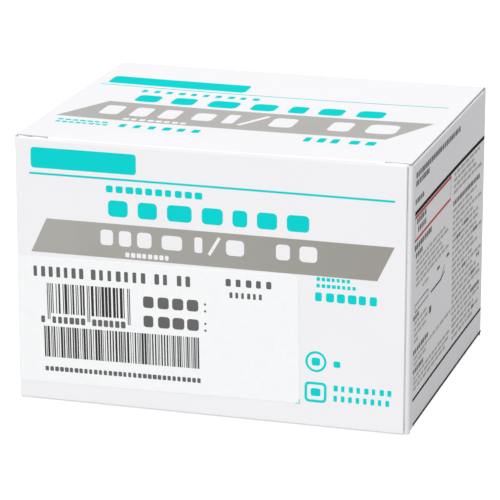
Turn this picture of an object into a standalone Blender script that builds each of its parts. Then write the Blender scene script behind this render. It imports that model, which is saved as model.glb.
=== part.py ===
"""A closed folding carton of needles, with the sealed needle strips that stand inside it.

Metres, +Z up, the front panel towards -Y. The origin is at the middle of the underside.
The carton body is one folded and glued blank, its lid and tuck flap are the part that opens,
a paper label wraps the front left fold, and the strips stand in two rows.
"""
import math

import bmesh
import bpy
from mathutils import Matrix, Vector

# Carton, outside sizes when it is closed
WIDTH = 0.150
DEPTH = 0.122
HEIGHT = 0.102
BOARD = 0.0005
CORNER = 0.0017
FOLD = 0.0012
FOLD_STEPS = 4

# Clearances
LAYER_GAP = 0.0001
REST_GAP = 0.0003
SWING_GAP = 0.00005
LID_GAP = 0.0002
TUCK_END_GAP = 0.0012
DUST_FLAP_GAP = 0.0002
WELD = 1e-7

# Carton body
FRONT_DROP = 0.0013
GLUE_FLAP = 0.014
GLUE_FLAP_START = 0.005
GLUE_FLAP_TAPER = 0.003
NOTCH = 0.0006
DUST_FLAP = 0.055
DUST_FLAP_BACK_INSET = 0.0034
DUST_FLAP_TAPER = 0.006
DUST_FLAP_CORNER = 0.008
BOTTOM_SIDE_FLAP = 0.070
BOTTOM_INNER_FLAP = 0.104
BOTTOM_OUTER_SHORT = 0.0014
BOTTOM_FLAP_TAPER = 0.008
BOTTOM_FLAP_CORNER = 0.004

# Lid
CREASE_DROP = 0.0013
SLIT = 0.0117
SLIT_GAP = 0.0003
SHOULDER_DROP = 0.0002
LID_CORNER = 0.0008
TUCK_LENGTH = 0.015
TUCK_LEAN = math.radians(5)
TUCK_SIDE_GAP = 0.0008
TUCK_TAPER = 0.003
TUCK_CORNER = 0.008

# Label
LABEL_LENGTH = 0.109
LABEL_HEIGHT = 0.0484
LABEL_WRAP = 0.012
LABEL_LOW = 0.0073
LABEL_TILT = math.radians(0.86)
LABEL_CORNER = 0.0022
LABEL_THICKNESS = 0.00015

# Needle strips
STRIPS_PER_ROW = 10
PACKS_PER_STRIP = 5
PACK_LENGTH = 0.057
PACK_HEIGHT = 0.0184
FILM = 0.0004
TEAR_NOTCH = 0.0012
POCKET_LENGTH = 0.049
POCKET_HUB_WIDTH = 0.0135
POCKET_CAP_WIDTH = 0.0104
POCKET_HUB_LENGTH = 0.0165
POCKET_STEP = 0.003
POCKET_CHAMFER = 0.002
POCKET_DEPTH = 0.0121
POCKET_DRAFT = 0.0008
POCKET_ROUND = 0.0011
POCKET_ROUND_DEPTH = 0.0008
STRIP_SIDE_GAP = 0.0008

# Worked out from the sizes above
LAYER = BOARD + LAYER_GAP
FRONT_Y = -DEPTH / 2
BACK_Y = DEPTH / 2
SEAM_X = WIDTH / 2 - CORNER
FRONT_TOP = HEIGHT - FRONT_DROP
CORNER_TOP = HEIGHT - BOARD - LID_GAP
SIDE_TOP = HEIGHT - LAYER - FOLD
HINGE_Y = BACK_Y - FOLD
HINGE_Z = HEIGHT - FOLD
CREASE_SWEEP = math.hypot(FOLD, CREASE_DROP) + SWING_GAP
BACK_TOP = HINGE_Z - math.sqrt(CREASE_SWEEP ** 2 - (FOLD - BOARD) ** 2)
TUCK_Y = FRONT_Y + LAYER
LOCK_Y = TUCK_Y + BOARD + SLIT_GAP
GLUE_FLAP_TOP = HEIGHT - FOLD - TUCK_LENGTH - TUCK_END_GAP
INNER_FLOOR = 3 * BOARD + 2 * LAYER_GAP

COLORS = {
    "board": (0.86, 0.86, 0.87, 1.0),
    "label": (0.93, 0.94, 0.96, 1.0),
    "blister": (0.80, 0.82, 0.83, 1.0),
}


def clear_scene():
    for obj in list(bpy.data.objects):
        bpy.data.objects.remove(obj, do_unlink=True)


def new_collection(name):
    collection = bpy.data.collections.new(name)
    bpy.context.scene.collection.children.link(collection)
    return collection


def new_material(name, roughness):
    material = bpy.data.materials.new(name)
    material.use_nodes = True
    shader = material.node_tree.nodes["Principled BSDF"]
    shader.inputs["Base Color"].default_value = COLORS[name]
    shader.inputs["Roughness"].default_value = roughness
    shader.inputs["Metallic"].default_value = 0.0
    return material


def object_from_bmesh(name, bm, material, collection, origin=Vector()):
    """Makes an object of a bmesh in world coordinates, with its origin at the given point."""
    bmesh.ops.translate(bm, verts=bm.verts, vec=-origin)
    mesh = bpy.data.meshes.new(name)
    bm.to_mesh(mesh)
    bm.free()
    mesh.materials.append(material)
    obj = bpy.data.objects.new(name, mesh)
    obj.location = origin
    collection.objects.link(obj)
    return obj


def give_thickness(obj, thickness):
    """Turns an outer surface into a sheet that lies behind it."""
    solidify = obj.modifiers.new("sheet", "SOLIDIFY")
    solidify.thickness = thickness
    solidify.offset = -1
    solidify.use_even_offset = True


def arc_points(center, radius, start, end, steps=FOLD_STEPS):
    """Points on an arc about a centre in a plane, both ends included. Angles are in degrees."""
    points = []
    for step in range(steps + 1):
        angle = math.radians(start + (end - start) * step / steps)
        points.append((center[0] + radius * math.cos(angle), center[1] + radius * math.sin(angle)))
    return points


def flap_outline(width, length, taper, corner):
    """Free edge of a flap from one end of its hinge to the other, as (along, away) pairs."""
    lean = math.degrees(math.atan2(taper, length - corner))
    far = width - taper
    left = arc_points((taper + corner, length - corner), corner, 180 - lean, 90)
    right = arc_points((far - corner, length - corner), corner, 90, lean)
    return left + right


def carry_round_fold(bm, edge, inward, up):
    """Carries an edge of a panel round a square fold, and returns the edge where it is flat again."""
    row = edge
    for step in range(1, FOLD_STEPS + 1):
        angle = math.radians(90 * step / FOLD_STEPS)
        shift = inward * FOLD * (1 - math.cos(angle)) + up * FOLD * math.sin(angle)
        next_row = [bm.verts.new(vert.co + shift) for vert in edge]
        for near, far, far_up, near_up in zip(row, row[1:], next_row[1:], next_row):
            bm.faces.new((near, far, far_up, near_up))
        row = next_row
    return row


def add_flap(bm, edge, inward, up, length, taper, corner):
    """Folds a flap in from an edge of a panel."""
    hinge = carry_round_fold(bm, edge, inward, up)
    start = hinge[0].co.copy()
    along = (hinge[-1].co - start).normalized()
    width = (hinge[-1].co - start).length
    outline = flap_outline(width, length, taper, corner)
    free_edge = [bm.verts.new(start + along * u + inward * v) for u, v in outline]
    bm.faces.new(hinge[::-1] + free_edge)


def wall_stations():
    """Points round the walls' outer face, each with the name of the panel that follows it.

    The walk starts at the front panel's cut edge, goes clockwise as seen from above, and ends
    on the glue flap, which lies behind the front panel.
    """
    side_x = WIDTH / 2
    fold_x = side_x - CORNER
    glue_y = FRONT_Y + LAYER
    dust_front = glue_y + CORNER + DUST_FLAP_GAP
    dust_back = BACK_Y - DUST_FLAP_BACK_INSET
    stations = [(SEAM_X, FRONT_Y, "front end"), (SEAM_X - NOTCH, FRONT_Y, "front"),
                (-fold_x + NOTCH, FRONT_Y, "front end")]
    front_left = arc_points((-fold_x, FRONT_Y + CORNER), CORNER, 270, 180)
    stations += [(x, y, "front corner") for x, y in front_left[:-1]]
    stations += [(-side_x, FRONT_Y + CORNER, "side end"), (-side_x, dust_front, "left"),
                 (-side_x, dust_back, "side end")]
    back_left = arc_points((-fold_x, BACK_Y - CORNER), CORNER, 180, 90)
    stations += [(x, y, "back corner") for x, y in back_left[:-1]]
    stations += [(-fold_x, BACK_Y, "back end"), (-fold_x + NOTCH, BACK_Y, "back"),
                 (fold_x - NOTCH, BACK_Y, "back end")]
    back_right = arc_points((fold_x, BACK_Y - CORNER), CORNER, 90, 0)
    stations += [(x, y, "back corner") for x, y in back_right[:-1]]
    stations += [(side_x, BACK_Y - CORNER, "side end"), (side_x, dust_back, "right"),
                 (side_x, dust_front, "side end")]
    front_right = arc_points((fold_x, glue_y + CORNER), CORNER, 360, 270)
    stations += [(x, y, "front corner") for x, y in front_right[:-1]]
    stations += [(fold_x, glue_y, "glue taper"), (fold_x - GLUE_FLAP_TAPER, glue_y, "glue"),
                 (fold_x - GLUE_FLAP, glue_y, "end")]
    return stations


def wall_reach():
    """Lowest and highest level of each panel of the walls, apart from its flaps."""
    front_low = LAYER + FOLD
    side_low = 2 * LAYER + FOLD
    glue_inset = GLUE_FLAP_START + GLUE_FLAP_TAPER
    return {
        "front": (front_low, FRONT_TOP), "front end": (front_low, FRONT_TOP),
        "front corner": (FOLD, CORNER_TOP), "back corner": (FOLD, BACK_TOP),
        "left": (side_low, SIDE_TOP), "right": (side_low, SIDE_TOP),
        "side end": (side_low, SIDE_TOP),
        "back": (FOLD, BACK_TOP), "back end": (FOLD, BACK_TOP),
        "glue taper": (GLUE_FLAP_START, GLUE_FLAP_TOP),
        "glue": (glue_inset, GLUE_FLAP_TOP - GLUE_FLAP_TAPER),
    }


def carton_surface():
    """Outer face of the folded blank: walls, glue flap, bottom flaps and dust flaps."""
    bm = bmesh.new()
    stations = wall_stations()
    reach = wall_reach()
    levels = sorted({level for pair in reach.values() for level in pair})
    grid = {}

    def vert(column, level):
        if (column, level) not in grid:
            x, y, _ = stations[column]
            grid[column, level] = bm.verts.new((x, y, level))
        return grid[column, level]

    columns = {}
    for column, (_, _, panel) in enumerate(stations[:-1]):
        low, high = reach[panel]
        for bottom, top in zip(levels, levels[1:]):
            if bottom >= low and top <= high:
                bm.faces.new((vert(column + 1, bottom), vert(column, bottom),
                              vert(column, top), vert(column + 1, top)))
        columns[panel] = column

    def edge(panel, at_top):
        column = columns[panel]
        level = reach[panel][at_top]
        return [vert(column, level), vert(column + 1, level)]

    up, down = Vector((0, 0, 1)), Vector((0, 0, -1))
    to_back, to_right = Vector((0, 1, 0)), Vector((1, 0, 0))
    outer_flap = DEPTH - FOLD - BOTTOM_OUTER_SHORT
    add_flap(bm, edge("back", False), -to_back, down, outer_flap, NOTCH, BOTTOM_FLAP_CORNER)
    add_flap(bm, edge("front", False), to_back, down, BOTTOM_INNER_FLAP, BOTTOM_FLAP_TAPER,
             BOTTOM_FLAP_CORNER)
    for panel, inward in (("left", to_right), ("right", -to_right)):
        add_flap(bm, edge(panel, False), inward, down, BOTTOM_SIDE_FLAP, BOTTOM_FLAP_TAPER,
                 BOTTOM_FLAP_CORNER)
        add_flap(bm, edge(panel, True), inward, up, DUST_FLAP, DUST_FLAP_TAPER, DUST_FLAP_CORNER)
    bmesh.ops.recalc_face_normals(bm, faces=bm.faces)
    return bm


def build_carton(material, collection):
    carton = object_from_bmesh("carton", carton_surface(), material, collection)
    give_thickness(carton, BOARD)
    return carton


def lid_surface():
    """Outer face of the lid with its hinge crease, lock corners and tuck flap.

    The fold to the tuck flap stops short of both ends, at the slits. There the lid stays flat as
    far as its lock corners, and the tuck flap's shoulders stand up in front of them.
    """
    bm = bmesh.new()
    back = arc_points((HINGE_Y, HINGE_Z), FOLD, 0, 90)
    front = arc_points((TUCK_Y + FOLD, HINGE_Z), FOLD, 90, 180 + math.degrees(TUCK_LEAN))
    crease_x = WIDTH / 2 - CORNER
    lid_x = WIDTH / 2 - FOLD
    slit_x = WIDTH / 2 - SLIT

    def row(half_width, y, z):
        return [bm.verts.new((-half_width, y, z)), bm.verts.new((half_width, y, z))]

    def strip(rows):
        for near, far in zip(rows, rows[1:]):
            bm.faces.new((near[0], near[1], far[1], far[0]))

    back_rows = [row(crease_x, BACK_Y, HINGE_Z - CREASE_DROP)]
    back_rows += [row(crease_x, y, z) for y, z in back]
    strip(back_rows)
    front_rows = [row(slit_x, y, z) for y, z in front]
    strip(front_rows)

    hinge_left, hinge_right = back_rows[-1]
    tuck_left, tuck_right = front_rows[0]
    lock = arc_points((lid_x - LID_CORNER, LOCK_Y + LID_CORNER), LID_CORNER, 0, -90)
    side = [(lid_x, HINGE_Y - (lid_x - crease_x))] + lock + [(slit_x, LOCK_Y)]
    right_edge = [bm.verts.new((x, y, HEIGHT)) for x, y in side]
    left_edge = [bm.verts.new((-x, y, HEIGHT)) for x, y in reversed(side)]
    bm.faces.new([hinge_left, hinge_right] + right_edge + [tuck_right, tuck_left] + left_edge)

    tip_left, tip_right = front_rows[-1]
    along_flap = Vector((0, math.sin(TUCK_LEAN), -math.cos(TUCK_LEAN)))
    start_y, start_z = front[-1]
    shoulder_rise = (HEIGHT - SHOULDER_DROP - start_z) / math.cos(TUCK_LEAN)
    shoulder_x = crease_x - TUCK_SIDE_GAP
    outline = flap_outline(2 * shoulder_x, TUCK_LENGTH, TUCK_TAPER, TUCK_CORNER)
    half = [(slit_x, -shoulder_rise), (shoulder_x, -shoulder_rise)]
    half += [(shoulder_x - u, v) for u, v in outline[:FOLD_STEPS + 1]]

    def flap_vert(x, v):
        place = Vector((x, start_y, start_z)) + along_flap * v
        return bm.verts.new(place)

    right_half = [flap_vert(x, v) for x, v in half]
    left_half = [flap_vert(-x, v) for x, v in reversed(half)]
    bm.faces.new([tip_left, tip_right] + right_half + left_half)
    bmesh.ops.recalc_face_normals(bm, faces=bm.faces)
    return bm


def build_lid(material, collection):
    """The lid has its origin on the hinge crease, which it turns about."""
    hinge = Vector((0, HINGE_Y, HINGE_Z))
    lid = object_from_bmesh("lid", lid_surface(), material, collection, hinge)
    give_thickness(lid, BOARD)
    return lid


def wrap_round_corner(point, radius):
    """Lays a flat point (length along the front, height) round the front left fold."""
    along, height = point
    face_y = FRONT_Y + CORNER - radius
    turn_x = -WIDTH / 2 + CORNER
    past = turn_x - along
    quarter = radius * math.pi / 2
    if past <= 0:
        return Vector((along, face_y, height))
    if past < quarter:
        angle = past / radius
        return Vector((turn_x - radius * math.sin(angle), FRONT_Y + CORNER - radius * math.cos(angle),
                       height))
    return Vector((turn_x - radius, FRONT_Y + CORNER + past - quarter, height))


def label_surface():
    """Outer face of the label: a rounded rectangle, tilted a little and wrapped round the fold."""
    bm = bmesh.new()
    radius = CORNER + LAYER_GAP + LABEL_THICKNESS
    turn_x = -WIDTH / 2 + CORNER
    quarter = radius * math.pi / 2
    left = turn_x - quarter - LABEL_WRAP
    right = -WIDTH / 2 + LABEL_LENGTH
    high = LABEL_LOW + LABEL_HEIGHT
    inner = LABEL_CORNER
    outline = arc_points((right - inner, high - inner), inner, 0, 90)
    outline += arc_points((left + inner, high - inner), inner, 90, 180)
    outline += arc_points((left + inner, LABEL_LOW + inner), inner, 180, 270)
    outline += arc_points((right - inner, LABEL_LOW + inner), inner, 270, 360)
    pivot = Vector((-WIDTH / 2, 0, LABEL_LOW))
    tilt = Matrix.Rotation(-LABEL_TILT, 4, "Y")
    flat = [pivot + tilt @ (Vector((x, 0, z)) - pivot) for x, z in outline]
    bm.faces.new([bm.verts.new(point) for point in flat])
    for step in range(FOLD_STEPS + 1):
        cut_x = turn_x - quarter * step / FOLD_STEPS
        bmesh.ops.bisect_plane(bm, geom=bm.verts[:] + bm.edges[:] + bm.faces[:], dist=WELD,
                               plane_co=(cut_x, 0, 0), plane_no=(1, 0, 0))
    for vert in bm.verts:
        vert.co = wrap_round_corner((vert.co.x, vert.co.z), radius)
    bmesh.ops.recalc_face_normals(bm, faces=bm.faces)
    return bm


def build_label(material, collection):
    label = object_from_bmesh("label", label_surface(), material, collection)
    give_thickness(label, LABEL_THICKNESS)
    return label


def film_mesh():
    """Backing film and flange of a strip: a flat sheet with a tear notch at both ends of each
    line between two packs. It stands in the YZ plane, with its lower edge at z = 0."""
    bm = bmesh.new()
    half = PACK_LENGTH / 2
    height = PACKS_PER_STRIP * PACK_HEIGHT
    front_edge = [(-half, 0.0)]
    for line in range(1, PACKS_PER_STRIP):
        z = line * PACK_HEIGHT
        front_edge += [(-half, z - TEAR_NOTCH / 2), (-half + TEAR_NOTCH, z), (-half, z + TEAR_NOTCH / 2)]
    front_edge.append((-half, height))
    outline = front_edge + [(-y, z) for y, z in reversed(front_edge)]
    face = bm.faces.new([bm.verts.new((0, y, z)) for y, z in outline])
    sheet = bmesh.ops.extrude_face_region(bm, geom=[face])
    moved = [item for item in sheet["geom"] if isinstance(item, bmesh.types.BMVert)]
    bmesh.ops.translate(bm, verts=moved, vec=(FILM, 0, 0))
    bmesh.ops.recalc_face_normals(bm, faces=bm.faces)
    return bm


def pocket_outline():
    """Half outline of a pocket: wide at the needle's hub, stepping in to the cap."""
    end = POCKET_LENGTH / 2
    hub, cap = POCKET_HUB_WIDTH / 2, POCKET_CAP_WIDTH / 2
    step_at = -end + POCKET_HUB_LENGTH
    return [(-end, hub - POCKET_CHAMFER), (-end + POCKET_CHAMFER, hub), (step_at - POCKET_STEP, hub),
            (step_at, cap), (end, cap)]


def pocket_mesh():
    """All the pockets of a strip, each a drafted tray with a rounded rim, out of the film."""
    bm = bmesh.new()
    half = pocket_outline()
    outline = half + [(y, -z) for y, z in reversed(half)]
    for pack in range(PACKS_PER_STRIP):
        middle = (pack + 0.5) * PACK_HEIGHT
        verts = [bm.verts.new((FILM / 2, y, middle - z)) for y, z in outline]
        base = bm.faces.new(verts)
        sides = bmesh.ops.extrude_face_region(bm, geom=[base])
        roof = [item for item in sides["geom"] if isinstance(item, bmesh.types.BMFace)]
        moved = [item for item in sides["geom"] if isinstance(item, bmesh.types.BMVert)]
        bmesh.ops.translate(bm, verts=moved, vec=(FILM, 0, 0))
        wall_depth = POCKET_DEPTH - FILM / 2 - POCKET_ROUND_DEPTH
        bmesh.ops.recalc_face_normals(bm, faces=bm.faces)
        bmesh.ops.inset_region(bm, faces=roof, thickness=POCKET_DRAFT, depth=wall_depth,
                               use_even_offset=True)
        bmesh.ops.inset_region(bm, faces=roof, thickness=POCKET_ROUND, depth=POCKET_ROUND_DEPTH,
                               use_even_offset=True)
    return bm


def strip_mesh(material, cutters):
    """One strip as a single mesh: the film with its pockets joined on."""
    film = object_from_bmesh("film", film_mesh(), material, cutters)
    pockets = object_from_bmesh("pockets", pocket_mesh(), material, cutters)
    union = film.modifiers.new("pockets", "BOOLEAN")
    union.operation = "UNION"
    union.object = pockets
    graph = bpy.context.evaluated_depsgraph_get()
    mesh = bpy.data.meshes.new_from_object(film.evaluated_get(graph))
    mesh.name = "needle_strip"
    for helper in (film, pockets):
        bpy.data.objects.remove(helper, do_unlink=True)
    return mesh


def build_strips(material, collection, cutters):
    """Two rows of strips, standing on the bottom flaps with their pockets all to one side."""
    mesh = strip_mesh(material, cutters)
    pitch = (WIDTH - 2 * BOARD - 2 * STRIP_SIDE_GAP) / STRIPS_PER_ROW
    first_x = -WIDTH / 2 + BOARD + STRIP_SIDE_GAP
    floor = INNER_FLOOR + REST_GAP
    row_y = (PACK_LENGTH + REST_GAP) / 2
    for row, y in enumerate((-row_y, row_y)):
        for place in range(STRIPS_PER_ROW):
            number = row * STRIPS_PER_ROW + place + 1
            strip = bpy.data.objects.new("needle_strip_%02d" % number, mesh)
            strip.location = (first_x + place * pitch, y, floor)
            collection.objects.link(strip)


def main():
    clear_scene()
    parts = new_collection("needle_carton")
    cutters = new_collection("cutters")
    board = new_material("board", 0.55)
    build_carton(board, parts)
    build_lid(board, parts)
    build_label(new_material("label", 0.5), parts)
    build_strips(new_material("blister", 0.25), parts, cutters)


main()
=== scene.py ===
"""Looks of a closed folding carton of sealed needle strips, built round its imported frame.

Metres, +Z up, the front panel towards -Y. The coated board of the carton and its lid, the paper
label and the print are fine sheets made here, and the sealed strips keep their solids.
"""
import math
import random

import bmesh
import bpy
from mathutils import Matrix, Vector


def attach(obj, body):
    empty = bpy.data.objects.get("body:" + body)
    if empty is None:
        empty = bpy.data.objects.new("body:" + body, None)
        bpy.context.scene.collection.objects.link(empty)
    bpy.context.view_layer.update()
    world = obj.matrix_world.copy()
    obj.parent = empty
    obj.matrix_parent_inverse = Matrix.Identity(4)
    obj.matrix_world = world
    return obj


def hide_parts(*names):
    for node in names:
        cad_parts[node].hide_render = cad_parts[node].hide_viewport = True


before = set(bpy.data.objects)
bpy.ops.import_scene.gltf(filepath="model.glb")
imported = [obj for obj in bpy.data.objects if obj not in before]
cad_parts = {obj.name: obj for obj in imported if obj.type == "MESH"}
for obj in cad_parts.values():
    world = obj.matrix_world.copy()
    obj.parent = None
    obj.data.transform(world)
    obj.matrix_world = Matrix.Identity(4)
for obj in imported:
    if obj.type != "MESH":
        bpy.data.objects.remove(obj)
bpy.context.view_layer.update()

MM = 0.001
X, Y, Z = range(3)

# Carton, outside sizes when it is closed
WIDTH = 150 * MM
DEPTH = 122 * MM
HEIGHT = 102 * MM
BOARD = 0.5 * MM
CORNER = 1.7 * MM
FOLD = 0.55 * MM
CREASE = 1.2 * MM
LAYER = BOARD + 0.1 * MM

# Walls and flaps of the carton
FRONT_TOP = HEIGHT - 0.8 * MM
CORNER_TOP = HEIGHT - BOARD - 0.2 * MM
SIDE_TOP = HEIGHT - LAYER - FOLD - 0.25 * MM
FRONT_LOW = LAYER + FOLD
SIDE_LOW = 2 * LAYER + FOLD
NOTCH = 0.6 * MM
GLUE_FLAP = 14 * MM
GLUE_FLAP_START = 5 * MM
GLUE_FLAP_TAPER = 3 * MM
DUST_FLAP = 55.6 * MM
DUST_FLAP_GAP = 0.2 * MM
DUST_FLAP_BACK_INSET = 3.4 * MM
DUST_FLAP_TAPER = 6 * MM
DUST_FLAP_CORNER = 8 * MM
BOTTOM_SIDE_FLAP = 70.6 * MM
BOTTOM_INNER_FLAP = 104.6 * MM
BOTTOM_OUTER_FLAP = DEPTH - FOLD - 2.8 * MM
BOTTOM_FLAP_TAPER = 8 * MM
BOTTOM_FLAP_CORNER = 4 * MM

# Lid
HINGE_Y = DEPTH / 2 - CREASE
HINGE_Z = HEIGHT - CREASE
CREASE_DROP = 1.3 * MM
CREASE_SWEEP = math.hypot(CREASE, CREASE_DROP) + 0.05 * MM
BACK_TOP = HINGE_Z - math.sqrt(CREASE_SWEEP ** 2 - (CREASE - BOARD) ** 2)
TUCK_Y = -DEPTH / 2 + LAYER
SLIT = 11.7 * MM
SLIT_SHIFT = 1.5 * MM
LOCK_Y = TUCK_Y + BOARD + 0.3 * MM
SHOULDER_DROP = 0.2 * MM
LID_INSET = 0.6 * MM
LID_CORNER = 0.6 * MM
TUCK_LENGTH = 15.6 * MM
TUCK_LEAN = math.radians(5)
SHOULDER_REACH = 0.3 * MM
TUCK_TAPER = 3 * MM
TUCK_CORNER = 8 * MM
GLUE_FLAP_TOP = HEIGHT - FOLD - TUCK_LENGTH - 1.2 * MM

# Label
LABEL_LENGTH = 109 * MM
LABEL_HEIGHT = 48.4 * MM
LABEL_WRAP = 12 * MM
LABEL_LOW = 7.3 * MM
LABEL_TILT = math.radians(0.86)
LABEL_CORNER = 2.2 * MM
LABEL_THICKNESS = 0.1 * MM
LABEL_LIFT = 0.12 * MM

# How far the closed carton gives, all of it inwards
FACE_GIVE = 0.06 * MM
FRONT_GIVE_MIDDLE = 0.1925 * MM
FRONT_GIVE_TOP = 0.3575 * MM
SIDE_GIVE = 0.8 * MM
LID_GIVE = 0.7 * MM
EDGE_DIP = 0.6 * MM
EDGE_DIP_SKEW = 0.8

# Where a panel's give sets in and is whole, on the way from the carton's middle at 0 to its outside
# at 1. Towards the folds at a panel's ends it runs out again.
FRONT_SETS_IN = (0.75, 0.98)
SIDE_SETS_IN = (0.8, 0.98)
LID_SETS_IN = (0.75, 0.97)
EDGE_SETS_IN = (0.955, 0.985)
RUNS_OUT_ACROSS = 0.985
RUNS_OUT_ALONG = 0.975

# Cut edges that the cutting rule and handling have pressed
CUT_SHOW = 0.4 * MM
CUT_CRUSH = 0.12 * MM
LIP = 0.25 * MM
LIP_LEAN = 0.09 * MM
SHOULDER_LEAN = 0.3 * MM
SHOULDER_WAVE = 0.1 * MM
SHOULDER_WAVE_LENGTH = 7.5 * MM
LEFT_SHOULDER_DROP = 0.22 * MM
SHOULDER_CUTS = 8

# Print: its heights off the face, and shares of a letter's place or of a line's height
PRINT_LIFT = 0.03 * MM
PRINT_LEVEL = 0.015 * MM
PRINT_SINK = 0.02 * MM
BLOCK_INSET = 0.07
BLOCK_ROUNDNESS = 0.25
HEADING_ROUNDNESS = 0.15
LETTER_FILL = 0.71
THIN_FILL = 0.5
LETTER_SPREAD = 0.15
WORD_SHORTEST = 2.2
WORD_LONGEST = 6.0
WORD_REST = 2.5
WORD_GAP = 0.8
WORD_ROUNDNESS = 0.45

# Upright bars: widths and gaps in modules, and the modules in millimetres
BAR_WIDTHS = (1, 1, 1, 2, 2, 3)
BAR_GAPS = (1, 1, 2, 2, 3)
CLOSE_BAR_GAPS = (1, 1, 1, 2, 2)
UPPER_MODULE = 0.34
LOWER_MODULE = 0.27

# Colours that more than one finish has
COATED_WHITE = (0.89, 0.883, 0.905, 1)
COATED_SHADE = (0.88, 0.873, 0.895, 1)

# Fineness. The turn is the part of a back corner where the wall stands higher.
FOLD_STEPS = 8
TURN_STEPS = 2
CIRCLE_STEPS = 32
PRINT_STEPS = 3
DICE = 6 * MM
WELD = MM / 1000
SHARP = math.radians(35)
EDGE_SLOT = 2

# Light, floor and camera
AMBIENT = 0.76
KEY_STRENGTH = 1.6
KEY_SPREAD = math.radians(60)
KEY_DIRECTION = Vector((0.15, 0.6, -0.45))
FLOOR_REACH = 4
FLOOR_CUTS = 40
FLOOR_GLOW = 0.85
CAMERA_AZIMUTH = math.radians(16.58)
CAMERA_ELEVATION = math.radians(16.71)
CAMERA_DISTANCE = 1.1603
CAMERA_TARGET = Vector((-2.94, 0, 46.44)) * MM
CAMERA_LENS = 218.3
CAMERA_SENSOR = 36


def smooth_step(low, high, value):
    """0 at low, 1 at high, smooth between and level beyond. High may be the lower number."""
    share = min(max((value - low) / (high - low), 0.0), 1.0)
    return share * share * (3 - 2 * share)


def settle(point):
    """Moves a point of the square carton to where it lies on the real one, which gives a little."""
    across = 2 * point.x / WIDTH
    along = 2 * point.y / DEPTH
    level = point.z / HEIGHT
    over_x = max(0.0, 1 - across * across)
    over_y = max(0.0, 1 - along * along)
    over_z = max(0.0, 1 - (2 * level - 1) ** 2)
    near_front = smooth_step(*FRONT_SETS_IN, -along)
    near_right = smooth_step(*SIDE_SETS_IN, across)
    near_left = smooth_step(*SIDE_SETS_IN, -across)
    near_top = smooth_step(*LID_SETS_IN, level)
    near_edge = near_front * smooth_step(*EDGE_SETS_IN, level)
    flat_x = smooth_step(1.0, RUNS_OUT_ACROSS, abs(across))
    flat_y = smooth_step(1.0, RUNS_OUT_ALONG, abs(along))
    give = Vector((0, 0, 0))
    give.x += (near_left - near_right) * (FACE_GIVE + SIDE_GIVE * over_y * over_z) * flat_y
    give.y += near_front * over_x * (FRONT_GIVE_MIDDLE * over_z + FRONT_GIVE_TOP * level * level)
    give.z -= near_top * (FACE_GIVE + LID_GIVE * over_x * over_y) * flat_y * flat_x
    give.z -= near_edge * EDGE_DIP * over_x * (1 - EDGE_DIP_SKEW * across)
    return point + give


def arc(center, radius, start, end, steps=FOLD_STEPS):
    """Points on an arc in a plane, both ends included. Angles are in degrees."""
    points = []
    for step in range(steps + 1):
        angle = math.radians(start + (end - start) * step / steps)
        points.append((center[0] + radius * math.cos(angle), center[1] + radius * math.sin(angle)))
    return points


def rounded_box(left, low, right, high, corner, steps=FOLD_STEPS):
    """Outline of a rectangle with rounded corners, from its top right corner round to its left."""
    points = arc((right - corner, high - corner), corner, 0, 90, steps)
    points += arc((left + corner, high - corner), corner, 90, 180, steps)
    points += arc((left + corner, low + corner), corner, 180, 270, steps)
    points += arc((right - corner, low + corner), corner, 270, 360, steps)
    return points


def flap_outline(width, length, taper, corner):
    """Free edge of a flap from one end of its hinge to the other, as (along, away) pairs."""
    lean = math.degrees(math.atan2(taper, length - corner))
    far = width - taper
    left = arc((taper + corner, length - corner), corner, 180 - lean, 90)
    right = arc((far - corner, length - corner), corner, 90, lean)
    return left + right


def cut_across(bm, axis, place):
    """Cuts every face at a plane across an axis, so that it can bend there."""
    point = Vector()
    point[axis] = place
    normal = Vector()
    normal[axis] = 1
    geom = bm.verts[:] + bm.edges[:] + bm.faces[:]
    bmesh.ops.bisect_plane(bm, geom=geom, dist=WELD, plane_co=point, plane_no=normal)


def dice(bm, axis, reach, spacing=DICE):
    """Cuts across an axis at even places on both sides of the middle."""
    count = int(reach / spacing)
    for place in range(-count, count + 1):
        cut_across(bm, axis, place * spacing)


def new_piece(name, bm, finishes):
    """An object from a mesh in the making, which is used up."""
    mesh = bpy.data.meshes.new(name)
    bm.to_mesh(mesh)
    bm.free()
    for finish in finishes:
        mesh.materials.append(finish)
    piece = bpy.data.objects.new(name, mesh)
    bpy.context.scene.collection.objects.link(piece)
    return piece


def sheet_piece(name, bm, thickness, finishes):
    """A closed sheet behind its outer surface, with a finish for its face, back and cut edge."""
    bmesh.ops.recalc_face_normals(bm, faces=bm.faces)
    for vert in bm.verts:
        vert.co = settle(vert.co)
    piece = new_piece(name, bm, finishes)
    solidify = piece.modifiers.new("sheet", "SOLIDIFY")
    solidify.thickness = thickness
    solidify.offset = -1
    solidify.use_even_offset = True
    solidify.material_offset = 1
    solidify.material_offset_rim = EDGE_SLOT
    graph = bpy.context.evaluated_depsgraph_get()
    mesh = bpy.data.meshes.new_from_object(piece.evaluated_get(graph))
    piece.modifiers.clear()
    piece.data = mesh
    mesh.shade_smooth()
    mesh.set_sharp_from_angle(angle=SHARP)
    return piece


def carry_round_fold(bm, edge, inward, up):
    """Carries an edge of a panel round a square fold, and returns the edge where it is flat again."""
    row = edge
    for step in range(1, FOLD_STEPS + 1):
        angle = math.radians(90 * step / FOLD_STEPS)
        shift = inward * FOLD * (1 - math.cos(angle)) + up * FOLD * math.sin(angle)
        next_row = [bm.verts.new(vert.co + shift) for vert in edge]
        bm.faces.new((row[0], row[1], next_row[1], next_row[0]))
        row = next_row
    return row


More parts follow.
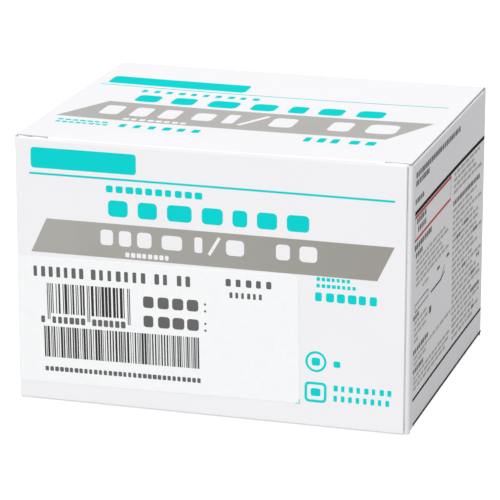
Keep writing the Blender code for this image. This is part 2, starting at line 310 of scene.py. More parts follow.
def add_flap(bm, edge, inward, up, length, taper, corner):
    """Folds a flap in from an edge of a panel."""
    hinge = carry_round_fold(bm, edge, inward, up)
    start = hinge[0].co.copy()
    along = (hinge[-1].co - start).normalized()
    width = (hinge[-1].co - start).length
    outline = flap_outline(width, length, taper, corner)
    free_edge = [bm.verts.new(start + along * u + inward * v) for u, v in outline]
    bm.faces.new(hinge[::-1] + free_edge)


def wall_stations():
    """Points round the walls' outer face, each with the name of the panel that follows it.

    The walk starts at the front panel's cut edge, goes clockwise as seen from above, and ends
    on the glue flap, which lies behind the front panel.
    """
    side_x, back_y, front_y = WIDTH / 2, DEPTH / 2, -DEPTH / 2
    fold_x = side_x - CORNER
    glue_y = front_y + LAYER
    dust_front = glue_y + CORNER + DUST_FLAP_GAP
    dust_back = back_y - DUST_FLAP_BACK_INSET
    stations = [(fold_x, front_y + CUT_CRUSH, "front cut"), (fold_x - CUT_SHOW, front_y, "front end"),
                (fold_x - NOTCH, front_y, "front"), (-fold_x + NOTCH, front_y, "front end")]
    corner = arc((-fold_x, front_y + CORNER), CORNER, 270, 180)
    stations += [(x, y, "front corner") for x, y in corner[:-1]]
    stations += [(-side_x, front_y + CORNER, "side end"), (-side_x, dust_front, "left"),
                 (-side_x, dust_back, "back side end")]
    turn = ["back turn"] * TURN_STEPS + ["back corner"] * (FOLD_STEPS - TURN_STEPS)
    corner = arc((-fold_x, back_y - CORNER), CORNER, 180, 90)
    stations += [(x, y, panel) for (x, y), panel in zip(corner, turn)]
    stations += [(-fold_x, back_y, "back end"), (-fold_x + NOTCH, back_y, "back"),
                 (fold_x - NOTCH, back_y, "back end")]
    corner = arc((fold_x, back_y - CORNER), CORNER, 90, 0)
    stations += [(x, y, panel) for (x, y), panel in zip(corner, reversed(turn))]
    stations += [(side_x, back_y - CORNER, "back side end"), (side_x, dust_back, "right"),
                 (side_x, dust_front, "side end")]
    corner = arc((fold_x, glue_y + CORNER), CORNER, 360, 270)
    stations += [(x, y, "front corner") for x, y in corner[:-1]]
    stations += [(fold_x, glue_y, "glue taper"), (fold_x - GLUE_FLAP_TAPER, glue_y, "glue"),
                 (fold_x - GLUE_FLAP, glue_y, "end")]
    return stations


def wall_reach():
    """Lowest and highest level of each panel of the walls, apart from its flaps."""
    return {
        "front": (FRONT_LOW, FRONT_TOP),
        "front end": (FRONT_LOW, FRONT_TOP),
        "front cut": (FRONT_LOW, FRONT_TOP),
        "front corner": (FOLD, CORNER_TOP),
        "left": (SIDE_LOW, SIDE_TOP),
        "right": (SIDE_LOW, SIDE_TOP),
        "side end": (SIDE_LOW, SIDE_TOP),
        "back side end": (SIDE_LOW, CORNER_TOP),
        "back turn": (FOLD, CORNER_TOP),
        "back corner": (FOLD, BACK_TOP),
        "back": (FOLD, BACK_TOP),
        "back end": (FOLD, BACK_TOP),
        "glue taper": (GLUE_FLAP_START, GLUE_FLAP_TOP),
        "glue": (GLUE_FLAP_START + GLUE_FLAP_TAPER, GLUE_FLAP_TOP - GLUE_FLAP_TAPER),
    }


def carton_surface():
    """Outer face of the folded blank: walls, glue flap, bottom flaps and dust flaps."""
    bm = bmesh.new()
    stations = wall_stations()
    reach = wall_reach()
    levels = sorted({level for pair in reach.values() for level in pair})
    grid = {}

    def grid_vert(column, level):
        if (column, level) not in grid:
            grid[column, level] = bm.verts.new((*stations[column][:2], level))
        return grid[column, level]

    columns = {}
    for column, station in enumerate(stations[:-1]):
        panel = station[2]
        low, high = reach[panel]
        for bottom, top in zip(levels, levels[1:]):
            if bottom >= low and top <= high:
                face = bm.faces.new((grid_vert(column + 1, bottom), grid_vert(column, bottom),
                                     grid_vert(column, top), grid_vert(column + 1, top)))
                face.material_index = EDGE_SLOT if panel == "front cut" else 0
        columns[panel] = column

    def edge(panel, at_top):
        level = reach[panel][at_top]
        return [grid_vert(columns[panel], level), grid_vert(columns[panel] + 1, level)]

    up, down = Vector((0, 0, 1)), Vector((0, 0, -1))
    to_back, to_right = Vector((0, 1, 0)), Vector((1, 0, 0))
    add_flap(bm, edge("back", 0), -to_back, down, BOTTOM_OUTER_FLAP, NOTCH, BOTTOM_FLAP_CORNER)
    add_flap(bm, edge("front", 0), to_back, down, BOTTOM_INNER_FLAP, BOTTOM_FLAP_TAPER,
             BOTTOM_FLAP_CORNER)
    for panel, inward in (("left", to_right), ("right", -to_right)):
        add_flap(bm, edge(panel, 0), inward, down, BOTTOM_SIDE_FLAP, BOTTOM_FLAP_TAPER,
                 BOTTOM_FLAP_CORNER)
        add_flap(bm, edge(panel, 1), inward, up, DUST_FLAP, DUST_FLAP_TAPER, DUST_FLAP_CORNER)
    dice(bm, X, WIDTH / 2)
    dice(bm, Y, DEPTH / 2)
    dice(bm, Z, HEIGHT)
    cut_across(bm, Z, FRONT_TOP - LIP)
    for vert in bm.verts:
        if vert.co.y < -DEPTH / 2 + BOARD / 2:
            vert.co.y += LIP_LEAN * smooth_step(FRONT_TOP - LIP, FRONT_TOP, vert.co.z)
    return bm


def lid_surface():
    """Outer face of the lid with its hinge crease, lock corners and tuck flap."""
    bm = bmesh.new()
    back = arc((HINGE_Y, HINGE_Z), CREASE, 0, 90)
    front = arc((TUCK_Y + FOLD, HEIGHT - FOLD), FOLD, 90, 180 + math.degrees(TUCK_LEAN))
    crease_x = WIDTH / 2 - CORNER
    lid_x = WIDTH / 2 - LID_INSET
    slit_x = WIDTH / 2 - SLIT
    slit_left, slit_right = SLIT_SHIFT - slit_x, SLIT_SHIFT + slit_x

    def row(left, right, y, z):
        return [bm.verts.new((left, y, z)), bm.verts.new((right, y, z))]

    def strip(rows):
        for near, far in zip(rows, rows[1:]):
            bm.faces.new((near[0], near[1], far[1], far[0]))

    back_rows = [row(-crease_x, crease_x, DEPTH / 2, HINGE_Z - CREASE_DROP)]
    back_rows += [row(-lid_x, lid_x, y, z) for y, z in back]
    strip(back_rows)
    front_rows = [row(slit_left, slit_right, y, z) for y, z in front]
    strip(front_rows)

    hinge_left, hinge_right = back_rows[-1]
    tuck_left, tuck_right = front_rows[0]
    lock = arc((lid_x - LID_CORNER, LOCK_Y + LID_CORNER), LID_CORNER, 0, -90)
    right_side = lock + [(slit_right, LOCK_Y)]
    left_side = [(slit_left, LOCK_Y)] + [(-x, y) for x, y in reversed(lock)]
    right_edge = [bm.verts.new((x, y, HEIGHT)) for x, y in right_side]
    left_edge = [bm.verts.new((x, y, HEIGHT)) for x, y in left_side]
    bm.faces.new([hinge_left, hinge_right] + right_edge + [tuck_right, tuck_left] + left_edge)

    tip_left, tip_right = front_rows[-1]
    down_flap = Vector((0, math.sin(TUCK_LEAN), -math.cos(TUCK_LEAN)))
    start_y, start_z = front[-1]
    shoulder_rise = (HEIGHT - SHOULDER_DROP - start_z) / math.cos(TUCK_LEAN)
    shoulder_x = crease_x + SHOULDER_REACH
    outline = flap_outline(2 * shoulder_x, TUCK_LENGTH, TUCK_TAPER, TUCK_CORNER)
    half = [(shoulder_x, -shoulder_rise)]
    half += [(shoulder_x - u, v) for u, v in outline[:FOLD_STEPS + 1]]

    def flap_vert(x, v):
        return bm.verts.new(Vector((x, start_y, start_z)) + down_flap * v)

    right_half = [flap_vert(slit_right, -shoulder_rise)] + [flap_vert(x, v) for x, v in half]
    left_half = [flap_vert(-x, v) for x, v in reversed(half)] + [flap_vert(slit_left, -shoulder_rise)]
    bm.faces.new([tip_left, tip_right] + right_half + left_half)
    dice(bm, X, WIDTH / 2)
    dice(bm, Y, DEPTH / 2)
    for step in range(1, SHOULDER_CUTS):
        for side in (-1, 1):
            cut_across(bm, X, side * (slit_x + SLIT * step / SHOULDER_CUTS))
    cut_across(bm, Z, FRONT_TOP)
    for vert in bm.verts:
        if vert.co.z > CORNER_TOP and vert.co.y < TUCK_Y:
            vert.co.y += SHOULDER_LEAN
            wave = math.sin(math.tau * vert.co.x / SHOULDER_WAVE_LENGTH)
            towards_left = smooth_step(slit_x, -slit_x, vert.co.x)
            vert.co.z += SHOULDER_WAVE * wave - LEFT_SHOULDER_DROP * towards_left
    return bm


def wrap_round_corner(along, height, rise):
    """Lays a flat point (length along the front, height) round the front left fold."""
    radius = CORNER + rise
    turn_x = -WIDTH / 2 + CORNER
    turn_y = -DEPTH / 2 + CORNER
    past = turn_x - along
    quarter = radius * math.pi / 2
    if past <= 0:
        return Vector((along, turn_y - radius, height))
    if past < quarter:
        angle = past / radius
        return Vector((turn_x - radius * math.sin(angle), turn_y - radius * math.cos(angle), height))
    return Vector((turn_x - radius, turn_y + past - quarter, height))


def label_point(along, height, rise):
    """A point of the label, which is tilted a little, at a height above its face."""
    along_from_fold = along + WIDTH / 2
    above_low = height - LABEL_LOW
    tilted_along = along_from_fold * math.cos(LABEL_TILT) - above_low * math.sin(LABEL_TILT)
    tilted_height = along_from_fold * math.sin(LABEL_TILT) + above_low * math.cos(LABEL_TILT)
    return wrap_round_corner(tilted_along - WIDTH / 2, tilted_height + LABEL_LOW, LABEL_LIFT + rise)


def label_surface():
    """Outer face of the label: a rounded rectangle, wrapped round the fold."""
    bm = bmesh.new()
    left = -WIDTH / 2 + CORNER - (CORNER + LABEL_LIFT) * math.pi / 2 - LABEL_WRAP
    right = -WIDTH / 2 + LABEL_LENGTH
    outline = rounded_box(left, LABEL_LOW, right, LABEL_LOW + LABEL_HEIGHT, LABEL_CORNER)
    bm.faces.new([bm.verts.new((x, 0, z)) for x, z in outline])
    dice(bm, X, WIDTH / 2)
    dice(bm, X, WIDTH / 2 + CORNER, CORNER / 4)
    dice(bm, Z, HEIGHT)
    for vert in bm.verts:
        vert.co = label_point(vert.co.x, vert.co.z, 0)
    return bm


class Print:
    """Marks in one ink on one face, laid out flat in millimetres and then raised off the face.

    Marks that lie over others are a level higher.
    """

    def __init__(self, lay, level=0):
        self.bm = bmesh.new()
        self.lay = lay
        self.level = level

    def points(self, outline):
        return [self.bm.verts.new((u * MM, v * MM, 0)) for u, v in outline]

    def area(self, outline):
        self.bm.faces.new(self.points(outline))

    def bar(self, left, low, right, high):
        self.area([(left, low), (right, low), (right, high), (left, high)])

    def block(self, left, low, right, high, roundness=BLOCK_ROUNDNESS):
        """A bar with rounded corners."""
        corner = roundness * min(high - low, right - left)
        self.area(rounded_box(left, low, right, high, corner, PRINT_STEPS))

    def blocks(self, low, high, *spans):
        """A line of the largest print: one block to a letter, a little smaller than its place."""
        inset = BLOCK_INSET * (high - low)
        for left, right in spans:
            self.block(left + inset, low + inset, right - inset, high - inset)

    def line(self, start, end, width):
        """A straight line between two places."""
        u, v = end[0] - start[0], end[1] - start[1]
        length = math.hypot(u, v)
        side_u, side_v = -v / length * width / 2, u / length * width / 2
        self.area([(start[0] + side_u, start[1] + side_v), (start[0] - side_u, start[1] - side_v),
                   (end[0] - side_u, end[1] - side_v), (end[0] + side_u, end[1] + side_v)])

    def band(self, outer, inner):
        """The area between two closed outlines with as many points."""
        far, near = self.points(outer), self.points(inner)
        for i in range(len(far)):
            j = (i + 1) % len(far)
            self.bm.faces.new((far[i], far[j], near[j], near[i]))

    def ring(self, center, radius, line):
        outer = arc(center, radius, 0, 360, CIRCLE_STEPS)[:-1]
        inner = arc(center, radius - line, 0, 360, CIRCLE_STEPS)[:-1]
        self.band(outer, inner)

    def frame(self, left, low, right, high, line, corner):
        outer = rounded_box(left, low, right, high, corner, PRINT_STEPS)
        inner = rounded_box(left + line, low + line, right - line, high - line, corner / 2,
                            PRINT_STEPS)
        self.band(outer, inner)

    def letters(self, left, low, right, high, count, seed, fill=LETTER_FILL):
        """A line of print, one block to a letter. Each fills about that share of its place."""
        rng = random.Random(seed)
        pitch = (right - left) / count
        for place in range(count):
            start = left + pitch * place
            width = pitch * fill * rng.uniform(1 - LETTER_SPREAD, 1 + LETTER_SPREAD)
            self.block(start, low, start + width, high)

    def words(self, left, low, right, high, seed):
        """A line of small print as plain bars, one to a word."""
        rng = random.Random(seed)
        height = high - low
        at = left
        while at < right - height:
            end = at + height * rng.uniform(WORD_SHORTEST, WORD_LONGEST)
            if end > right - WORD_REST * height:
                end = right
            self.block(at, low, end, high, WORD_ROUNDNESS)
            at = end + WORD_GAP * height

    def bars(self, left, low, right, high, module, seed, gaps=BAR_GAPS):
        """Upright bars of uneven widths, with those gaps between them, in modules."""
        rng = random.Random(seed)
        at = left
        while at < right:
            end = min(at + module * rng.choice(BAR_WIDTHS), right)
            self.bar(at, low, end, high)
            at = end + module * rng.choice(gaps)

    def piece(self, name, ink, body):
        """Closes the marks off as thin solids on their face, and rides them on a body."""
        bm = self.bm
        dice(bm, X, WIDTH / 2)
        dice(bm, Y, HEIGHT)
        raised = bmesh.ops.extrude_face_region(bm, geom=bm.faces[:])
        tops = {item for item in raised["geom"] if isinstance(item, bmesh.types.BMVert)}
        for vert in bm.verts:
            rise = PRINT_LIFT + PRINT_LEVEL * self.level if vert in tops else -PRINT_SINK
            vert.co = settle(self.lay(vert.co.x, vert.co.y, rise))
        bmesh.ops.recalc_face_normals(bm, faces=bm.faces)
        made = new_piece(name, bm, [ink])
        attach(made, body)


def on_front(u, v, rise):
    return Vector((u, -DEPTH / 2 - rise, v))


def on_lid(u, v, rise):
    return Vector((u, v, HEIGHT + rise))


def on_side(u, v, rise):
    """The right side, and the fold below it."""
    if v >= SIDE_LOW:
        return Vector((WIDTH / 2 + rise, u, v))
    angle = (SIDE_LOW - v) / FOLD
    radius = FOLD + rise
    out = WIDTH / 2 - FOLD + radius * math.cos(angle)
    return Vector((out, u, SIDE_LOW - radius * math.sin(angle)))


class Signal:
    """A value that runs through nodes, and takes part in Python's arithmetic."""

    def __init__(self, nodes, socket):
        self.nodes = nodes
        self.socket = socket

    def combine(self, operation, first, second):
        return self.nodes.node("ShaderNodeMath", {"operation": operation}, {0: first, 1: second})

    def __add__(self, other):
        return self.combine("ADD", self, other)

    __radd__ = __add__

    def __sub__(self, other):
        return self.combine("SUBTRACT", self, other)

    def __rsub__(self, other):
        return self.combine("SUBTRACT", other, self)

    def __mul__(self, other):
        return self.combine("MULTIPLY", self, other)

    __rmul__ = __mul__

    def highest(self, other):
        return self.combine("MAXIMUM", self, other)


class Nodes:
    """The nodes of a material or of the world, linked as they are made."""

    def __init__(self, owner):
        owner.use_nodes = True
        self.tree = owner.node_tree

    def node(self, kind, settings=None, inputs=None, output=0):
        made = self.tree.nodes.new(kind)
        for setting, value in (settings or {}).items():
            setattr(made, setting, value)
        for socket, value in (inputs or {}).items():
            self.feed(made.inputs[socket], value)
        return Signal(self, made.outputs[output])

    def feed(self, socket, value):
        if isinstance(value, Signal):
            self.tree.links.new(value.socket, socket)
        else:
            socket.default_value = value


class Finish(Nodes):
    """A material whose shader is fed by nodes."""

    def __init__(self, name):
        self.material = bpy.data.materials.new(name)
        super().__init__(self.material)
        self.shader = self.tree.nodes["Principled BSDF"]
        self.place = self.node("ShaderNodeTexCoord", output="Object")

    def put(self, **inputs):
        """Feeds the shader. Words in a socket's name are joined by an underscore."""
        for name, value in inputs.items():
            self.feed(self.shader.inputs[name.replace("_", " ")], value)

    def noise(self, size, detail=3.0, stretch=None):
        """Noise from 0 to 1 with features about that size."""
        place = self.place
        if stretch:
            place = self.node("ShaderNodeVectorMath", {"operation": "MULTIPLY"},
                              {0: place, 1: stretch})
        return self.node("ShaderNodeTexNoise", {},
                         {"Vector": place, "Scale": 1 / size, "Detail": detail})

    def blend(self, share, first, second):
        """From one colour to another. 6, 7 and 2 are a Mix node's two colours and its result."""
        return self.node("ShaderNodeMix", {"data_type": "RGBA"},
                         {0: share, 6: first, 7: second}, output=2)

    def ramp(self, value, low, high):
        """0 below low, 1 above high, smooth between."""
        return self.node("ShaderNodeMapRange", {"interpolation_type": "SMOOTHSTEP"},
                         {"Value": value, "From Min": low, "From Max": high})

    def bump(self, height, depth, strength=0.5):
        return self.node("ShaderNodeBump", {},
                         {"Height": height, "Distance": depth, "Strength": strength})


def coated(name, color, shade, shine=0.3, right=None):
    """Clay coated face of the board, bare or under ink: smooth, faintly cloudy and finely dimpled.

    An ink that is darker towards the right end of the carton has another color there.
    """
    finish = Finish(name)
    clouds = finish.noise(22 * MM, 2.0)
    grain = finish.noise(0.7 * MM, 4.0)
    dimples = finish.noise(1.6 * MM)
    base = finish.blend(finish.ramp(clouds * 0.7 + grain * 0.3, 0.3, 0.7), shade, color)
    if right:
        across = finish.node("ShaderNodeSeparateXYZ", {}, {0: finish.place})
        base = finish.blend(finish.ramp(across, -WIDTH / 2, WIDTH / 2), base, right)
    finish.put(Base_Color=base, Roughness=0.45 + 0.1 * grain, Specular_IOR_Level=shine,
               Normal=finish.bump(dimples + 0.4 * grain, 0.02 * MM))
    return finish.material


def board_back():
    """Uncoated back of the board, with short fibres in it."""
    finish = Finish("board_back")
    fibres = finish.noise(0.9 * MM, 5.0, (1.0, 0.25, 1.0))
    clouds = finish.noise(9 * MM)
    mix = finish.ramp(fibres * 0.6 + clouds * 0.4, 0.3, 0.7)
    finish.put(Base_Color=finish.blend(mix, (0.43, 0.41, 0.38, 1), (0.56, 0.54, 0.50, 1)),
               Roughness=0.85, Normal=finish.bump(fibres, 0.06 * MM))
    return finish.material


def board_edge():
    """Cut edge of the board: grey layers between the white faces."""
    finish = Finish("board_edge")
    fibres = finish.noise(0.25 * MM, 4.0)
    mix = finish.ramp(fibres, 0.35, 0.65)
    finish.put(Base_Color=finish.blend(mix, (0.51, 0.50, 0.485, 1), (0.67, 0.66, 0.645, 1)),
               Roughness=0.9, Normal=finish.bump(fibres, 0.05 * MM))
    return finish.material


def label_stock():
    """Smooth white paper of the label."""
    finish = Finish("label_paper_face")
    pulp = finish.noise(2.5 * MM, 5.0)
    grain = finish.noise(0.3 * MM)
    mix = finish.ramp(pulp, 0.35, 0.65)
    finish.put(Base_Color=finish.blend(mix, (0.915, 0.93, 0.937, 1), (0.93, 0.945, 0.95, 1)),
               Roughness=0.45 + 0.12 * grain, Specular_IOR_Level=0.35,
               Normal=finish.bump(pulp + 0.5 * grain, 0.012 * MM))
    return finish.material


def milky_sheet():
    """Formed sheet and backing of the sealed strips, milky and a little uneven."""
    finish = Finish("milky_sheet")
    flow = finish.noise(8 * MM)
    seal = finish.noise(1.2 * MM, 2.0)
    mix = finish.ramp(flow, 0.3, 0.7)
    finish.put(Base_Color=finish.blend(mix, (0.70, 0.73, 0.75, 1), (0.84, 0.86, 0.87, 1)),
               Roughness=0.22 + 0.2 * seal, Normal=finish.bump(flow + 0.3 * seal, 0.08 * MM))
    return finish.material


def make_inks():
    return {
        "teal": coated("teal_ink", (0.006, 0.665, 0.65, 1), (0.006, 0.64, 0.626, 1), 0.0),
        "band": coated("warm_grey_ink", (0.42, 0.41, 0.39, 1), (0.40, 0.39, 0.37, 1)),
        "front band": coated("front_grey_ink", (0.415, 0.405, 0.378, 1), (0.39, 0.38, 0.353, 1),
                             right=(0.335, 0.321, 0.293, 1)),
        "black": coated("black_ink", (0.038, 0.034, 0.036, 1), (0.046, 0.042, 0.044, 1), 0.0),
        "soft": coated("soft_black_ink", (0.13, 0.125, 0.127, 1), (0.15, 0.145, 0.147, 1), 0.1),
        "small": coated("small_print_ink", (0.46, 0.45, 0.435, 1), (0.52, 0.51, 0.495, 1), 0.1),
        "white": coated("white_print", COATED_WHITE, COATED_SHADE),
        "red": coated("red_ink", (0.60, 0.045, 0.045, 1), (0.56, 0.045, 0.045, 1), 0.1),
    }


def front_print(inks):
    """Print on the front panel. Places are from the panel's middle and from the floor."""
    teal = Print(on_front)
    teal.block(-68.5, 90.0, -28, 97.8, HEADING_ROUNDNESS)
    teal.bar(-69.2, 87.5, 68.8, 88.3)
    teal.letters(-39.6, 82.8, -2, 85.4, 10, 11)
    teal.blocks(73.2, 80.4, (-39.4, -30.8), (-28.0, -19.6), (-16.8, -6.4), (-3.6, 5.4), (8.0, 14.6),
                (17.2, 25.8), (28.4, 37.8))
    teal.letters(40.1, 56.1, 53.2, 57.5, 7, 12)
    teal.letters(40.1, 53.6, 55.4, 55.0, 8, 13)
    teal.letters(39.6, 48.4, 64, 51.8, 6, 14)
    teal.ring((40.1, 25.4), 4.0, 0.9)
    teal.block(38.5, 23.9, 41.7, 26.9)
    teal.block(46.7, 23.8, 49.3, 26.2)
    teal.letters(46.8, 14.7, 69.8, 17.0, 8, 15, THIN_FILL)
    teal.letters(46.8, 10.8, 69.0, 13.1, 8, 16, THIN_FILL)
    teal.frame(35.9, 9.8, 44.2, 17.6, 1.0, 1.6)
    teal.block(38.2, 12.2, 41.9, 15.2)
    teal.area([(32.4, 8.6), (34.2, 8.6), (34.2, 10.4), (33.95, 10.4), (33.95, 8.85), (32.4, 8.85)])
    teal.piece("front_print_teal", inks["teal"], "carton")
    band = Print(on_front)
    band.area([(-69, 57.9), (62.6, 57.9), (68.9, 71), (-62.8, 71)])
    band.piece("front_print_band", inks["front band"], "carton")
    white = Print(on_front, 1)
    white.blocks(62.2, 69.0, (-42.4, -36.6), (-35.3, -29.6), (-28.3, -21.8), (-6.4, -2.4),
                 (5.6, 13.4), (24.4, 30.6), (33.2, 40.8))
    white.block(-18.4, 62.8, -10.6, 68.2)
    white.line((-0.4, 62.2), (3.6, 69.0), 1.2)
    white.letters(-32.4, 58.7, -15.0, 60.5, 8, 17)
    white.piece("front_print_white", inks["white"], "carton")


def label_print(inks):
    """Print on the label. Places are those on the front panel, before the label is tilted."""
    bars = Print(label_point)
    bars.bars(-61.2, 34.4, -47.6, 46.0, UPPER_MODULE, 23)
    bars.bars(-45.4, 34.4, -31.9, 46.0, UPPER_MODULE, 24)
    for at in (-62.6, -47.0, -31.3):
        bars.bar(at, 32.0, at + UPPER_MODULE, 46.0)
        bars.bar(at + 2 * UPPER_MODULE, 32.0, at + 3 * UPPER_MODULE, 46.0)
    bars.bars(-64.2, 17.3, -3.6, 29.3, LOWER_MODULE, 25, CLOSE_BAR_GAPS)
    bars.piece("label_print_bars", inks["black"], "carton")
    lines = Print(label_point)
    for left, right, count, seed in ((-67.6, -46.8, 7, 21), (-45.2, -22.6, 7, 22),
                                     (-20.6, -14.0, 2, 26), (-12.0, -5.4, 2, 27)):
        lines.letters(left, 48.4, right, 52.4, count, seed, THIN_FILL)
    for left, right, count, seed in ((-65.2, -62.8, 1, 31), (-60.8, -47.4, 6, 32),
                                     (-45.2, -31.8, 6, 33)):
        lines.letters(left, 30.6, right, 33.2, count, seed)
    lines.letters(-64.2, 11.8, -3.0, 13.6, 32, 34)
    for low, seed in ((39.2, 35), (31.8, 36)):
        lines.letters(-25.2, low, -2.8, low + 4.4, 4, seed)
        lines.block(-1.8, low, -1.0, low + 0.8)
        lines.block(-1.8, low + 2.6, -1.0, low + 3.4)
    lines.letters(6.6, 49.8, 25.8, 52.6, 5, 29, THIN_FILL)
    lines.letters(8.0, 45.4, 21.4, 47.6, 6, 30, THIN_FILL)
    lines.piece("label_print_lines", inks["soft"], "carton")


def lid_print(inks):
    """Print on the lid. Places are from its middle, to the right and to the back."""
    teal = Print(on_lid)
    teal.block(-69, 26.2, -13, 37.2, HEADING_ROUNDNESS)
    teal.bar(-70.5, 22.9, 68.6, 23.6)
    teal.letters(-51.5, 15.6, -2.0, 19.2, 10, 31, THIN_FILL)
    teal.blocks(0.4, 12.2, (-50.8, -39.8), (-36.4, -25.6), (-21.8, -8.4), (-4.8, 6.6), (10.2, 18.6),
                (21.8, 33.0), (36.6, 48.8))
    teal.letters(-42.6, -38.6, -8.8, -33.8, 6, 32, THIN_FILL)
    teal.letters(28.4, -39.2, 43.6, -32.8, 3, 36, THIN_FILL)
    teal.blocks(-39.2, -32.8, (45.0, 49.6), (51.2, 55.6))
    teal.letters(-67.4, -34.8, -47.4, -32.9, 7, 34)
    teal.letters(-67.4, -38.2, -46.4, -36.3, 8, 35)
    teal.piece("lid_print_teal", inks["teal"], "lid")
    band = Print(on_lid)
    band.area([(-70.2, -28.8), (56.9, -28.8), (69.0, -1.8), (-58.2, -1.8)])
    band.piece("lid_print_band", inks["band"], "lid")
    white = Print(on_lid, 1)
    white.blocks(-22.2, -6.6, (-57.6, -47.8), (-45.6, -36.4), (-34.4, -25.2), (-9.4, -2.6),
                 (8.6, 20.0), (31.2, 41.8), (45.4, 59.2))
    white.block(-20.6, -20.0, -12.6, -8.8)
    white.line((-1.0, -22.2), (6.6, -6.6), 2.0)
    white.letters(-44.6, -27.4, -19.0, -24.8, 8, 37)
    white.piece("lid_print_white", inks["white"], "lid")


def side_print(inks):
    """Print on the right side. Places are from its middle to the back, and from the floor."""
    black = Print(on_side)
    black.bar(-55.3, 81.4, 59, 82.9)
    black.bar(-55.3, 11.4, 59, 12.4)
    black.bar(-54.2, 1.85, 60, 2.8)
    black.line((-26.3, 44.4), (-9.6, 44.4), 0.7)
    black.line((-10.2, 44.2), (-3.6, 45.9), 0.6)
    black.line((-9.6, 44.8), (-3.6, 48.4), 0.4)
    black.piece("side_print_black", inks["black"], "carton")
    bold = Print(on_side, 1)
    for row in ((-54.6, 95.0, 16.8, 97.3, 24, 41), (-54.6, 92.0, -33, 94.2, 8, 42),
                (-55, 85.4, -41, 87.4, 5, 43), (-52, 77.4, -36, 79.6, 5, 44),
                (-50, 74.0, -36, 76.2, 5, 45), (-55, 68.0, -26, 70.2, 9, 46),
                (-53, 64.9, -41, 66.9, 4, 47), (-55, 28.8, -29.5, 30.6, 8, 48),
                (-54.5, 21.4, -37.2, 23.2, 6, 49), (-55.5, 42.0, -45.8, 43.6, 3, 38),
                (9, 67.4, 53, 69.4, 17, 39)):
        bold.letters(*row)
    bold.block(-29, 36.8, -25.4, 39.4)
    bold.block(-0.4, 50.2, 3.8, 51.4)
    bold.frame(-53.2, 44.4, -30.7, 47.4, 0.45, 0.5)
    bold.block(-16.2, 49.6, -12, 50.8)
    for left, low, right, count in ((27.8, 55.1, 35.4, 3), (16, 52.7, 22.6, 2), (43.6, 47.9, 50, 2),
                                    (26.4, 38.3, 31.8, 2), (41, 31.1, 46.4, 2), (49.8, 35.9, 54.8, 2),
                                    (40.6, 23.9, 54.8, 5), (42.4, 16.7, 47.2, 2)):
        bold.letters(left, low, right, low + 1.5, count, int(left))
    bold.piece("side_print_bold", inks["soft"], "carton")
    red = Print(on_side)
    red.bar(-55.3, 80.0, 4, 81.1)
    red.bar(-55.3, 71.4, 4, 72.4)
    red.piece("side_print_red", inks["red"], "carton")
    small = Print(on_side)
    small.bar(-55.3, 72.4, -54.7, 80.0)
    small.bar(3.3, 72.4, 4.0, 80.0)
    small.words(-41, 50.8, -31, 51.9, 57)
    rng = random.Random(40)
    for step in range(5):
        low = 62.6 - 2.2 * step
        small.words(-52, low, rng.uniform(-10, 3), low + 1.2, 50 + step)
    for low, right in ((39.9, -33), (37.6, -31), (35.3, -34), (33.0, -47), (26.5, 7), (24.4, -34),
                       (19.2, 5), (17.1, 3), (15.0, -2)):
        small.words(-54, low, right, low + 1.2, int(60 + low))
    for step in range(28):
        low = 79.2 - 2.4 * step
        if not 66.5 < low < 70:
            small.words(9, low, rng.uniform(40, 57.5), low + 1.3, 100 + step)
    small.piece("side_print_small", inks["small"], "carton")


def build_camera():
    """Camera at the photograph's view of the front, the lid and the right side."""
    flat = math.cos(CAMERA_ELEVATION)
    back = Vector((math.sin(CAMERA_AZIMUTH) * flat, -math.cos(CAMERA_AZIMUTH) * flat,
                   math.sin(CAMERA_ELEVATION)))
    data = bpy.data.cameras.new("camera")
    data.lens = CAMERA_LENS
    data.sensor_width = CAMERA_SENSOR
    camera = bpy.data.objects.new("camera", data)
    camera.location = CAMERA_TARGET + back * CAMERA_DISTANCE
    camera.rotation_euler = (-back).to_track_quat("-Z", "Y").to_euler()
    bpy.context.scene.collection.objects.link(camera)
    bpy.context.scene.camera = camera


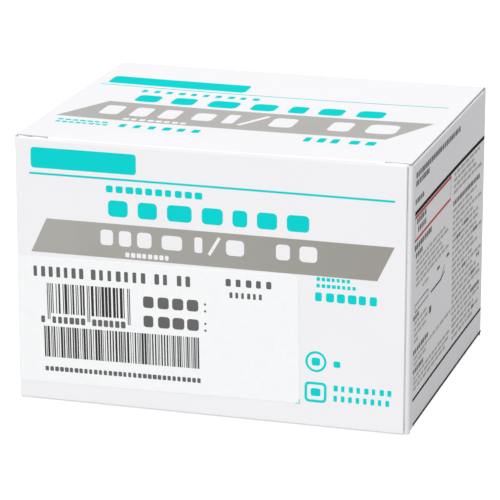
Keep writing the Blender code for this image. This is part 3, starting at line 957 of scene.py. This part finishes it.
def build_light():
    """Soft studio light: a broad key from the front left and an even white surround."""
    scene = bpy.context.scene
    scene.view_settings.view_transform = "Standard"
    scene.world = bpy.data.worlds.new("studio")
    world = Nodes(scene.world)
    camera_ray = world.node("ShaderNodeLightPath", output="Is Camera Ray")
    glossy_ray = world.node("ShaderNodeLightPath", output="Is Glossy Ray")
    clear_ray = world.node("ShaderNodeLightPath", output="Is Transmission Ray")
    seen = camera_ray.highest(glossy_ray).highest(clear_ray)
    backdrop = world.tree.nodes["Background"]
    world.feed(backdrop.inputs["Color"], (1, 1, 1, 1))
    world.feed(backdrop.inputs["Strength"], seen + AMBIENT * (1 - seen))

    key = bpy.data.lights.new("key", "SUN")
    key.energy = KEY_STRENGTH
    key.angle = KEY_SPREAD
    lamp = bpy.data.objects.new("key", key)
    lamp.rotation_euler = KEY_DIRECTION.to_track_quat("-Z", "Y").to_euler()
    scene.collection.objects.link(lamp)


def build_floor():
    """Pale floor that keeps the carton's shadow and reads as white to the camera."""
    bm = bmesh.new()
    bmesh.ops.create_grid(bm, x_segments=FLOOR_CUTS, y_segments=FLOOR_CUTS, size=FLOOR_REACH)
    finish = Finish("pale_floor")
    speckle = finish.noise(40 * MM, 2.0)
    camera_ray = finish.node("ShaderNodeLightPath", output="Is Camera Ray")
    glow = finish.blend(camera_ray, (0, 0, 0, 1), (FLOOR_GLOW, FLOOR_GLOW, FLOOR_GLOW, 1))
    finish.put(Base_Color=finish.blend(speckle, (0.355, 0.355, 0.355, 1), (0.385, 0.385, 0.385, 1)),
               Roughness=0.9, Emission_Strength=1.0, Emission_Color=glow)
    floor = new_piece("floor", bm, [finish.material])


def main():
    face = coated("coated_face", COATED_WHITE, COATED_SHADE)
    back = board_back()
    edge = board_edge()
    carton = sheet_piece("carton_board", carton_surface(), BOARD, [face, back, edge])
    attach(carton, "carton")
    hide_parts("carton")
    lid = sheet_piece("lid_board", lid_surface(), BOARD, [face, back, edge])
    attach(lid, "lid")
    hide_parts("lid")
    paper = label_stock()
    label = sheet_piece("label_paper", label_surface(), LABEL_THICKNESS, [paper, paper, paper])
    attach(label, "carton")
    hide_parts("label")
    inks = make_inks()
    front_print(inks)
    label_print(inks)
    lid_print(inks)
    side_print(inks)
    milky = milky_sheet()
    for name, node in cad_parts.items():
        if name.startswith("needle_strip"):
            node.data.materials.clear()
            node.data.materials.append(milky)
    build_camera()
    build_light()
    build_floor()


main()
